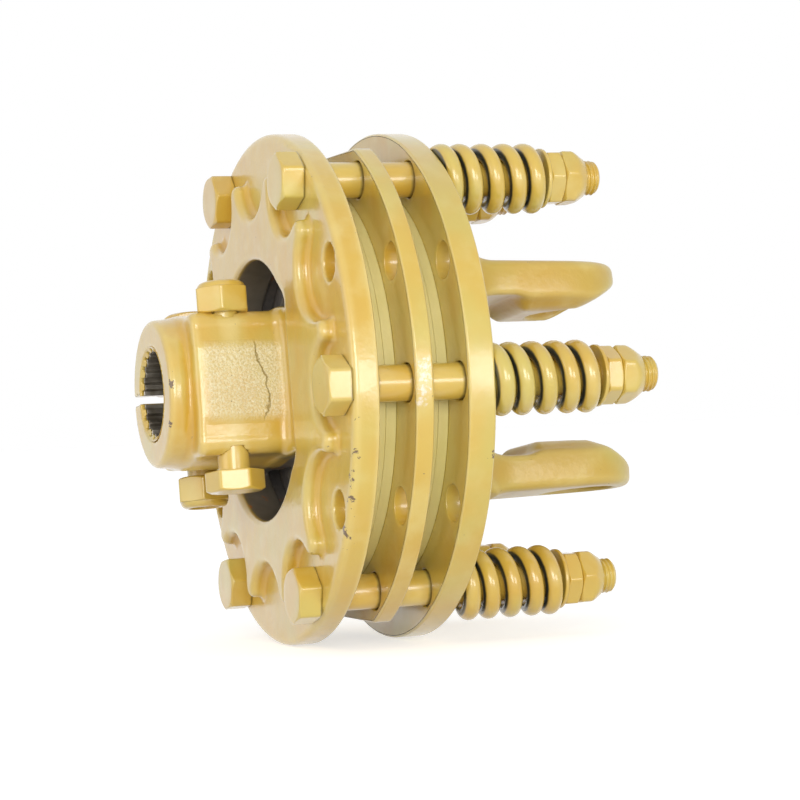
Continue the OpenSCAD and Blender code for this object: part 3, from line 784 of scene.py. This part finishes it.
# %% The yoke forging's field
def yoke_field(x, y, z):
    """Two ears with crowned backs, joined softly to a base disc, less the bores. An ear's inner
    side is deepest in the middle and rises to its edges, its root and its tip."""
    ty, tz = turned_frame(y, z, YOKE_TURN)
    r = np.hypot(ty, tz)
    wide, high = np.abs(ty), np.abs(tz)
    back = YOKE_BACK - 1.8 * share(x, 125, 195) - 0.8 * (wide / 24) ** 2
    ahead = (np.hypot(x - 171, 9) + x - 171) / 2
    plan = np.hypot(0.898 * ahead, ty) - EAR_HALF + 0.9 * np.clip((high - 38) / 10, -1, 1) ** 2
    ear = soft_max(soft_max(high - back, plan, 3.5), YOKE_X - x, 1.5)
    boss = 25.3 + 5.2 * eased(share(wide, 13, 24))
    inner = boss + (32 - boss) * eased(share(x, 154, 145))
    bevel = 25.8 + 0.5 * np.maximum(x - 174, 0)
    ear = soft_max(ear, soft_max(inner, bevel, 3) - high, 2.5)
    base = soft_max(soft_max(r - YOKE_BASE_R, YOKE_X - x, 1.5), x - 123, 2)
    body = np.maximum(soft_max(soft_min(base, ear, 16), YOKE_X - x, 1.5), r - 53)
    main_bore = r - YOKE_BORE_R + np.maximum(x - 140, 0) * 100
    cross_bore = np.hypot(x - CROSS_X, ty) - CROSS_BORE_R
    return soft_max(body, -np.minimum(main_bore, cross_bore), 0.9)


# %% The yoke forging's skin
points, quads, normals = skin_of(yoke_field, (104, -54, -54), (202, 54, 54), YOKE_STEP)
# The hollow share is painted shade: a deeper tone in the yoke's hollows.
edge, painted_shade = edge_and_hollow(yoke_field, points)
marks = {"edge": edge, "painted_shade": painted_shade}
yoke_forging = make_piece(
    "yoke_forging", points, [quads], "output", yoke_paint, marks, normals
)
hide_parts("yoke")
print("yoke forging:", len(quads), "quads")

# %% [markdown]
# ## Turned rings
# Sleeve, spigot, discs and washers are rings. A closed outline in (x, r) is carried round the axis:
# one direction of the grid runs round the outline, the other round the part. Each of the outline's
# four corners is two points, a small edge apart, and that edge catches the light.


# %% Carry an outline round the axis
def turned_ring(x0, x1, inner, outer, edge, columns):
    """A ring between two places on the axis. A radius may be one number or one for each column."""
    angle = 2 * np.pi * np.arange(columns) / columns
    x = np.array([x0 + edge, x0, x0, x0 + edge, x1 - edge, x1, x1, x1 - edge])
    is_outer = np.array([0, 0, 1, 1, 1, 1, 0, 0])
    shift = np.array([0, edge, -edge, 0, 0, -edge, edge, 0])
    inner, outer = [np.broadcast_to(r, columns)[:, None] for r in (inner, outer)]
    radius = inner * (1 - is_outer) + outer * is_outer + shift
    return around(x, radius, angle[:, None]) * (1, -1, 1)


def grid_piece(name, grid, body, finish, node=None, ring=True):
    """Makes a grid of rings into a piece, closed into a ring or at both ends. Where a CAD node is
    given, that node is hidden."""
    points, parts = closed_grid(grid, wrap_rows=ring)
    piece = make_piece(name, points, parts, body, finish)
    if node:
        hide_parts(node)


# %% Sleeve, spigot, rings and bush
angle = 2 * np.pi * np.arange(720) / 720
lug = (np.abs((angle + YOKE_TURN + THIRTY) % SIXTY - THIRTY) * 40 < 6).astype(float)
sleeve = turned_ring(60.5, 108, 27.1, 37 + 4.5 * lug, 0.4, 720)
spigot = turned_ring(57, 115, 19, 23, 0.6, 120)
bush = turned_ring(60.5, 115, 23.05, 27, 0.5, 120)
grid_piece("yoke_sleeve", sleeve, "output", bright_steel)
grid_piece("hub_spigot", spigot, "hub", bright_steel)
for number, x in enumerate((63.0, 83.5), 1):
    plate = turned_ring(x, x + 4.5, 37.2 + 4.5 * lug, 80.5, 0.5, 720)
    node = f"drive_plate_{number}"
    grid_piece(f"drive_ring_{number}", plate, "output", drive_steel, node)
for number, x in enumerate((58.5, 67.5, 79.0, 88.0), 1):
    disc = turned_ring(x, x + 4.5, 53, 79, 0.3, 360)
    grid_piece(f"lining_ring_{number}", disc, "output", lining, f"friction_disc_{number}")
grid_piece("bush_ring", bush, "output", bronze, "bush")
print("rings made")

# %% [markdown]
# ## Splined sleeve
# The bore has 21 fine teeth of bare steel, and the slot that lets the hub clamp cuts through them
# on the far side. The radius is a function of the angle: a low flat, a slope, a high flat and a
# slope for each tooth, opened by a chamfer at the mouth.

# %% Teeth
TEETH, TIP_R, ROOT_R, WALL_R = 21, 16, 17.7, 18.4


def tooth_radius(angle):
    """From the tip's radius to the root's and back over two slopes, once for each tooth."""
    part = (angle * TEETH / (2 * np.pi)) % 1
    return ROOT_R - (ROOT_R - TIP_R) * share(np.abs(part - 0.5), 0.19, 0.31)


half_slot = np.arcsin(1.7 / 17.5)
angle = np.linspace(half_slot, 2 * np.pi - half_slot, TEETH * 20 + 1)
for name, x, finish in (
    ("splined_sleeve", np.array([1.5, 2.0, 4.0, 20.0, 53.0, 53.0, 1.5]), bright_steel),
    ("bore_lip", np.array([0.0, 0.4, 0.8, 1.2, 1.6, 1.6, 0.0]), forging_paint),
):
    radius = np.maximum(tooth_radius(angle)[:, None], BORE_R - x * 1.4)
    radius[:, -2:] = WALL_R
    local = around(x, radius, angle[:, None])
    y, z = turned_frame(local[..., 1], local[..., 2] + 0.3, -HUB_TURN)
    grid = np.stack([local[..., 0], y, z], -1)
    grid_piece(name, grid, "hub", finish, ring=False)
print("sleeve:", grid.size // 3, "points")

# %% [markdown]
# ## Plates
# The middle plate and the pressure plate are flat rings with ten holes each: six for the bolts and
# four empty ones. A face is twelve equal patches, each from the edge of one hole out to the border
# of its 30 degree share. At the top and the bottom, where there is no hole, a fan of triangles
# closes the patch. Rim, bore and holes' walls meet the patches point by point. Above and below, the
# middle plate's rim is cut to a straight flat.

# %% Flats and welds
FLAT_FROM, MIDDLE_FLAT = 80, 90.3
RIM_EDGE = 1.0


def trimmed(points, flat):
    """Points beyond 80 mm draw in towards the axis, so that the rim comes to a straight flat at
    that height, above and below. Other directions stay."""
    rho = np.hypot(points[:, 1], points[:, 2])
    limit = np.minimum(PLATE_R, flat * rho / np.maximum(np.abs(points[:, 2]), 1.0))
    drawn = FLAT_FROM + (rho - FLAT_FROM) * (limit - FLAT_FROM) / (PLATE_R - FLAT_FROM)
    scale = np.where(rho > FLAT_FROM, drawn, rho) / np.maximum(rho, 1.0)
    return points * np.stack([np.ones_like(scale), scale, scale], -1)


def weld(points, parts):
    """Points that lie in the same place, to a thousandth of a millimetre, become one."""
    near = np.round(points, 3)
    _, first, same = np.unique(near, axis=0, return_index=True, return_inverse=True)
    return points[first], [same.reshape(-1)[faces] for faces in parts]


# %% Drilled plate
def hole_patch(x0, x1, border, centre, hole):
    """Front face, hole's wall and back face of one patch, as rings from the border to the hole and
    back. Where the hole is None, the rings stop short of the middle and no wall stands there."""
    ray = border - (BOLT_R, 0)
    ray /= np.linalg.norm(ray, axis=1)[:, None]
    radius, chamfer = (hole, 0.5) if hole else (2.0, 0.0)
    lip, wall = (BOLT_R, 0) + ray * (radius + 0.5), (BOLT_R, 0) + ray * radius
    part = (np.linspace(0, 1, 7) ** 1.4)[:, None, None]
    face = lip * (1 - part) + border * part
    stack = np.concatenate([face[::-1], [wall, wall], face])
    place = np.concatenate([np.full(7, x0), [x0 + chamfer, x1 - chamfer], np.full(7, x1)])
    y, z = turned_frame(stack[..., 0], stack[..., 1], -centre)
    return np.stack([np.broadcast_to(place[:, None], y.shape), -y, z], -1)


def drilled_plate(x0, x1, bore_r, flat):
    """Twelve patches between a hole and its share of the ring, on both faces, and all the walls."""
    arc, side, half = 24, 10, np.pi / 12
    sweep = np.linspace(-half, half, arc + 1)
    out_r, in_r = PLATE_R - RIM_EDGE, bore_r + RIM_EDGE
    radial = np.linspace(out_r, in_r, side + 1)
    outward = radial[::-1]
    border_r = [np.full(arc, out_r), radial[:-1], np.full(arc, in_r), outward[:-1]]
    border_a = [sweep[:-1], np.full(side, half), sweep[::-1][:-1], np.full(side, -half)]
    border_r, border_a = np.concatenate(border_r), np.concatenate(border_a)
    border = np.stack([border_r * np.cos(border_a), border_r * np.sin(border_a)], -1)
    count = len(border)
    ring = np.arange(count)
    points, quads, fans, total = [], [], [], 0
    for number in range(12):
        centre = np.pi * number / 6
        blind = number in (3, 9)
        hole = None if blind else SPARE_R if number % 2 else HOLE_R
        grid = hole_patch(x0, x1, border, centre, hole)
        rows = grid_faces(len(grid), count, False, True)
        if blind:
            rows = np.delete(rows, np.arange(7 * count, 8 * count), 0)
        quads.append(rows + total)
        points.append(grid.reshape(-1, 3))
        if blind:
            tip = np.full(count, total + len(grid) * count)
            points.append(np.array([[x, 0, BOLT_R * np.sin(centre)] for x in (x0, x1)]))
            low, high = total + 7 * count + ring, total + 8 * count + ring
            fans.append(np.stack([low, np.roll(low, -1), tip], -1))
            fans.append(np.stack([np.roll(high, -1), high, tip + 1], -1))
        total = sum(len(p) for p in points)
    angle = (np.pi * np.arange(12)[:, None] / 6 + sweep[:-1]).ravel()
    bend = np.radians([0, 22.5, 45, 67.5, 90])
    inset = RIM_EDGE * (1 - np.cos(bend))
    rim_x = np.concatenate([x0 + inset, x1 - inset[::-1]])
    for base_r, sign in ((out_r, 1), (in_r, -1)):
        rim_r = base_r + sign * RIM_EDGE * np.sin(np.concatenate([bend, bend[::-1]]))
        grid = around(rim_x, rim_r, angle[:, None]) * (1, -1, 1)
        faces = grid_faces(*grid.shape[:2], True, False)
        quads.append((faces if sign < 0 else faces[:, ::-1]) + total)
        points.append(grid.reshape(-1, 3))
        total += grid.size // 3
    return weld(trimmed(np.vstack(points), flat), [np.vstack(quads), np.vstack(fans)])


# %% Middle plate and pressure plate
for node, x0, x1, bore_r, body, flat in (
    ("middle_plate", MIDDLE_X, MIDDLE_BACK, 47.0, "hub", MIDDLE_FLAT),
    ("pressure_plate", PRESSURE_X, PRESSURE_BACK, 46.0, "pressure", PLATE_R),
):
    points, parts = drilled_plate(x0, x1, bore_r, flat)
    radius = np.hypot(points[:, 1], points[:, 2])
    depth = np.minimum(points[:, 0] - x0, x1 - points[:, 0])
    on_edge = (radius > PLATE_R - 0.9) & (depth < 0.6)
    # Painted shade: the faces darken inwards of 93 mm, in the gaps between the plates.
    marks = {"edge": on_edge * 1.0, "painted_shade": share(radius, 93, 84) * (depth < 0.1)}
    piece = make_piece(node + "_skin", points, parts, body, plate_paint, marks)
    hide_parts(node)
    print(node, len(parts[0]), "quads,", round(abs(volume_of(points, parts)) / 1000, 1), "ml")

# %% [markdown]
# ## Springs
# Six heavy coil springs press the plates together. The wire is round and thick, the end turns lie
# close and are ground flat. The wire's centre climbs slowly over the end turns and evenly between,
# and its section stands in the plane through the spring's axis.

# %% Lengths of a spring
WIRE_R, COIL_R, TURNS = 3.45, 10.2, 4.8
END_START, END_RISE = 1.75, 7.21
SPRING_PHASES = (79, 99, 230, 300, 10, 332)


# %% Spring wire
def spring_grid(phase, sides=24, steps=40):
    """Rings of wire: at t turns the ring's centre is at angle 360 t plus the phase, and at the
    climb's height. Points past a ground end are pressed back to it. Also how far a point faces its
    neighbours or the axis, which gets painted shade with grime."""
    pitch = (SPRING_L - 2 * END_START - 2 * END_RISE) / (TURNS - 2)
    t = np.linspace(0, TURNS, int(TURNS * steps) + 1)
    climb = END_START + np.where(t < 1, END_RISE * t, END_RISE + pitch * (t - 1))
    last = SPRING_L - END_START - END_RISE * (TURNS - t)
    climb = np.where(t > TURNS - 1, last, climb)[:, None]
    section = 2 * np.pi * (np.arange(sides) + 0.5) / sides
    x = np.clip(climb + WIRE_R * np.sin(section), 0, SPRING_L)
    turn = (2 * np.pi * t + np.radians(phase))[:, None]
    facing = np.maximum(np.abs(np.sin(section)), -np.cos(section)) * np.ones_like(x)
    return around(x + PRESSURE_BACK, COIL_R + WIRE_R * np.cos(section), turn), facing


# %% Six springs
for number, phase in enumerate(SPRING_PHASES, 1):
    rings, facing = spring_grid(phase)
    points, parts = closed_grid(at_bolt(rings, number))
    # Painted shade with grime on the wire's sides that face its neighbours and the axis.
    marks = {"painted_shade": np.append(np.clip((facing.ravel() - 0.7) * 3.6, 0, 1), [1, 1])}
    name = f"spring_wire_{number}"
    coil = make_piece(name, points, parts, "hub", spring_paint, marks, shaded=False)
    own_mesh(coil)
    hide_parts(f"spring_{number}")
print("springs:", len(points), "points each")

# %% [markdown]
# ## Bolts, nuts and washers
# A hexagon is the softened overlap of six half-planes, and a cone cuts its corners back. Both are
# radii, one by the angle and one by the place along the axis, and the smaller wins softly. The free
# end of each bolt has a thread: a ridge that moves on by one pitch for each turn. The outer nuts
# lock themselves, and taper to a cone.

# %% Lengths of the fasteners
PITCH, THREAD_DEPTH = 1.75, 0.85
CONE_SHARE, SHARP = 0.97, 34.0
HEAD_TURNS = np.radians((0, 8, 20, 0, 20, 12))
NUT_TURNS = np.radians((0,) + 5 * (30,))
JAM_TURNS = np.radians((5,) + 5 * (24,))
COLUMNS = 144
AROUND = 2 * np.pi * np.arange(COLUMNS) / COLUMNS


# %% Hexagon and nut
def hexagon_side(x, across, low, high=np.inf):
    """Radius of a hexagon: half its width over the soft maximum of the cosines to its six sides. A
    cone cuts the corners at the low end, and at the high end if there is one."""
    towards = np.maximum(np.cos(AROUND[:, None] - SIXTY * np.arange(6)), 1e-9)
    reach = (towards**SHARP).sum(1) ** (1 / SHARP)
    cone = across / 2 * CONE_SHARE + np.minimum(x - low, high - x) / 0.5
    return soft_min(across / 2 / reach[:, None], cone, 0.7)


def outlines(x, radii, turn):
    """A closed outline for each angle, from radii that hold all round or differ by the angle."""
    rows = [np.broadcast_to(r, (COLUMNS, np.shape(r)[-1])) for r in radii]
    return around(x, np.concatenate(rows, 1), (AROUND + turn)[:, None])


def nut_grid(x0, height, across, bore, turn, cone=0.0):
    """Bore, face, chamfered side and face of a nut. A self-locking nut's far end tapers over the
    length of the cone."""
    end, x1 = max(1.6, cone + 0.8), x0 + height
    step = np.concatenate([np.linspace(0, 1.6, 9), np.linspace(height - end, height, 9)]) + x0
    side = hexagon_side(step, across, x0, np.inf if cone else x1)
    if cone:
        tip_r = bore + 1.1
        side = soft_min(side, tip_r + (x1 - step) * (across / 2 + 1.0 - tip_r) / cone, 0.8)
    x = np.concatenate([[x0 + 0.7, x0], step, [x1, x1 - 0.7]])
    return outlines(x, ([bore, bore + 0.7], side, [bore + 0.7, bore]), turn)


# %% Bolt
def bolt_grid(head_x, shoulder_x, end_x, across, shank_r, turn, thread_from):
    """Rings along the axis: head face, chamfered hexagon, shoulder, shank and thread."""
    deep, length = shoulder_x - head_x, end_x - thread_from
    down = np.concatenate([np.linspace(0, 1.8, 10), deep - np.array([1.0, 0.4, 0.1, 0])])
    side = hexagon_side(down, across, 0.0)
    side[:, -1] -= 0.45
    side[:, -2] -= 0.12
    rings = [(head_x, across / 2 * CONE_SHARE * k) for k in (0.5, 0.75)]
    rings += [(head_x + d, side[:, n]) for n, d in enumerate(down)]
    rings += [(shoulder_x, shank_r + 0.3), (shoulder_x + 0.3, shank_r), (thread_from, shank_r)]
    for d in np.arange(0.15, length + 0.01, 0.2):
        ridge = np.abs((d / PITCH - AROUND / (2 * np.pi)) % 1 - 0.5) * 2
        radius = shank_r - THREAD_DEPTH * np.clip(1.25 * ridge - 0.12, 0, 1) * min(d, 1)
        radius = np.minimum(radius, shank_r - 1.1 + (length - d) * 0.9)
        rings.append((thread_from + d, radius))
    x = np.array([place for place, _ in rings])[:, None]
    radius = np.array([np.broadcast_to(r, COLUMNS) for _, r in rings])
    return around(x, radius, AROUND + turn)


def fastener(name, grid, node, ring=True):
    """A painted fastener; the CAD node of the same part is hidden."""
    grid_piece(name, grid, "hub", fastener_paint, node, ring)


# %% Spring bolts with their nuts and washers
for number in range(1, 7):
    head_turn, nut_turn, jam_turn = [t[number - 1] for t in (HEAD_TURNS, NUT_TURNS, JAM_TURNS)]
    bolt = bolt_grid(FLANGE_X - 9, FLANGE_X, BOLT_END, 19.6, 6.75, head_turn, JAM_X + 3)
    load_nut = nut_grid(NUT_X, JAM_X - NUT_X, 19.4, 6.8, nut_turn)
    lock_nut = nut_grid(JAM_X, 9.6, 19.6, 6.8, jam_turn, cone=4.2)
    washer = turned_ring(WASHER_X, NUT_X, 6.9, 11.6, 0.4, 96)
    fastener(f"long_bolt_{number}", at_bolt(bolt, number), f"spring_bolt_{number}", ring=False)
    fastener(f"load_nut_{number}", at_bolt(load_nut, number), f"nut_{number}")
    fastener(f"lock_nut_{number}", at_bolt(lock_nut, number), f"jam_nut_{number}")
    fastener(f"spring_washer_{number}", at_bolt(washer, number), f"washer_{number}")
print("fasteners for six bolts made")

# %% [markdown]
# ## Clamp bolts
# Two bolts pull the clamp body together: the near one points up, the far one down. Their nuts lock
# themselves, and have a round collar on the hexagon.

# %% Lengths of the clamp bolts
HALF_BODY = 27.5
CLAMP_HEAD_TURN, COLLAR_NUT_TURN = np.radians((16, -14))
COLLAR_ACROSS, COLLAR_BORE, COLLAR_ROLL = 19.2, 6.05, 2.4


# %% Clamp bolts and collar nuts
def upright(grid, offset, flip):
    """Local points (x along the bolt) stood up at a clamp bolt's place, in the hub's frame."""
    along = grid[..., 0] * (-1 if flip else 1)
    y, z = turned_frame(grid[..., 1] + offset, along, -HUB_TURN)
    return np.stack([grid[..., 2] + CLAMP_X, y, z], -1)


def collar_nut_grid(x0):
    """A nut whose far face carries a round collar with a rolled edge."""
    step = np.concatenate([np.linspace(0, 1.6, 9), np.linspace(8.2, 9.8, 9)]) + x0
    side = hexagon_side(step, COLLAR_ACROSS, x0, x0 + 10.4)
    bend = np.radians(np.linspace(0, 90, 7))
    collar_r, bore = COLLAR_ACROSS / 2 * CONE_SHARE, COLLAR_BORE
    roll_x = x0 + 9.9 + COLLAR_ROLL * np.sin(bend)
    roll_r = collar_r - COLLAR_ROLL + COLLAR_ROLL * np.cos(bend)
    x = [[x0 + 0.7, x0], step, [x0 + 9.8], roll_x, [x0 + 12.3, x0 + 11.8]]
    radii = ([bore, bore + 0.7], side, [collar_r], roll_r, [bore + 0.5, bore])
    return outlines(np.concatenate(x), radii, COLLAR_NUT_TURN)


bolts = (
    bolt_grid(-41.4, -33.4, 38.7, 20.0, 6.0, CLAMP_HEAD_TURN, 34.0),
    bolt_grid(-HALF_BODY - 7, -HALF_BODY, 41.9, 19.0, 6.0, CLAMP_HEAD_TURN, 37.0),
)
nuts = [collar_nut_grid(x) for x in (27.0, HALF_BODY + 3.1)]
sides = (("near", -CLAMP_Y, False), ("far", CLAMP_Y, True))
for (side, offset, flip), bolt in zip(sides, bolts):
    fastener(f"{side}_clamp_bolt", upright(bolt, offset, flip), f"clamp_bolt_{side}", ring=False)
for (side, offset, flip), nut in zip(sides, nuts):
    fastener(f"{side}_collar_nut", upright(nut, offset, flip), f"clamp_nut_{side}")
print("clamp bolts made")
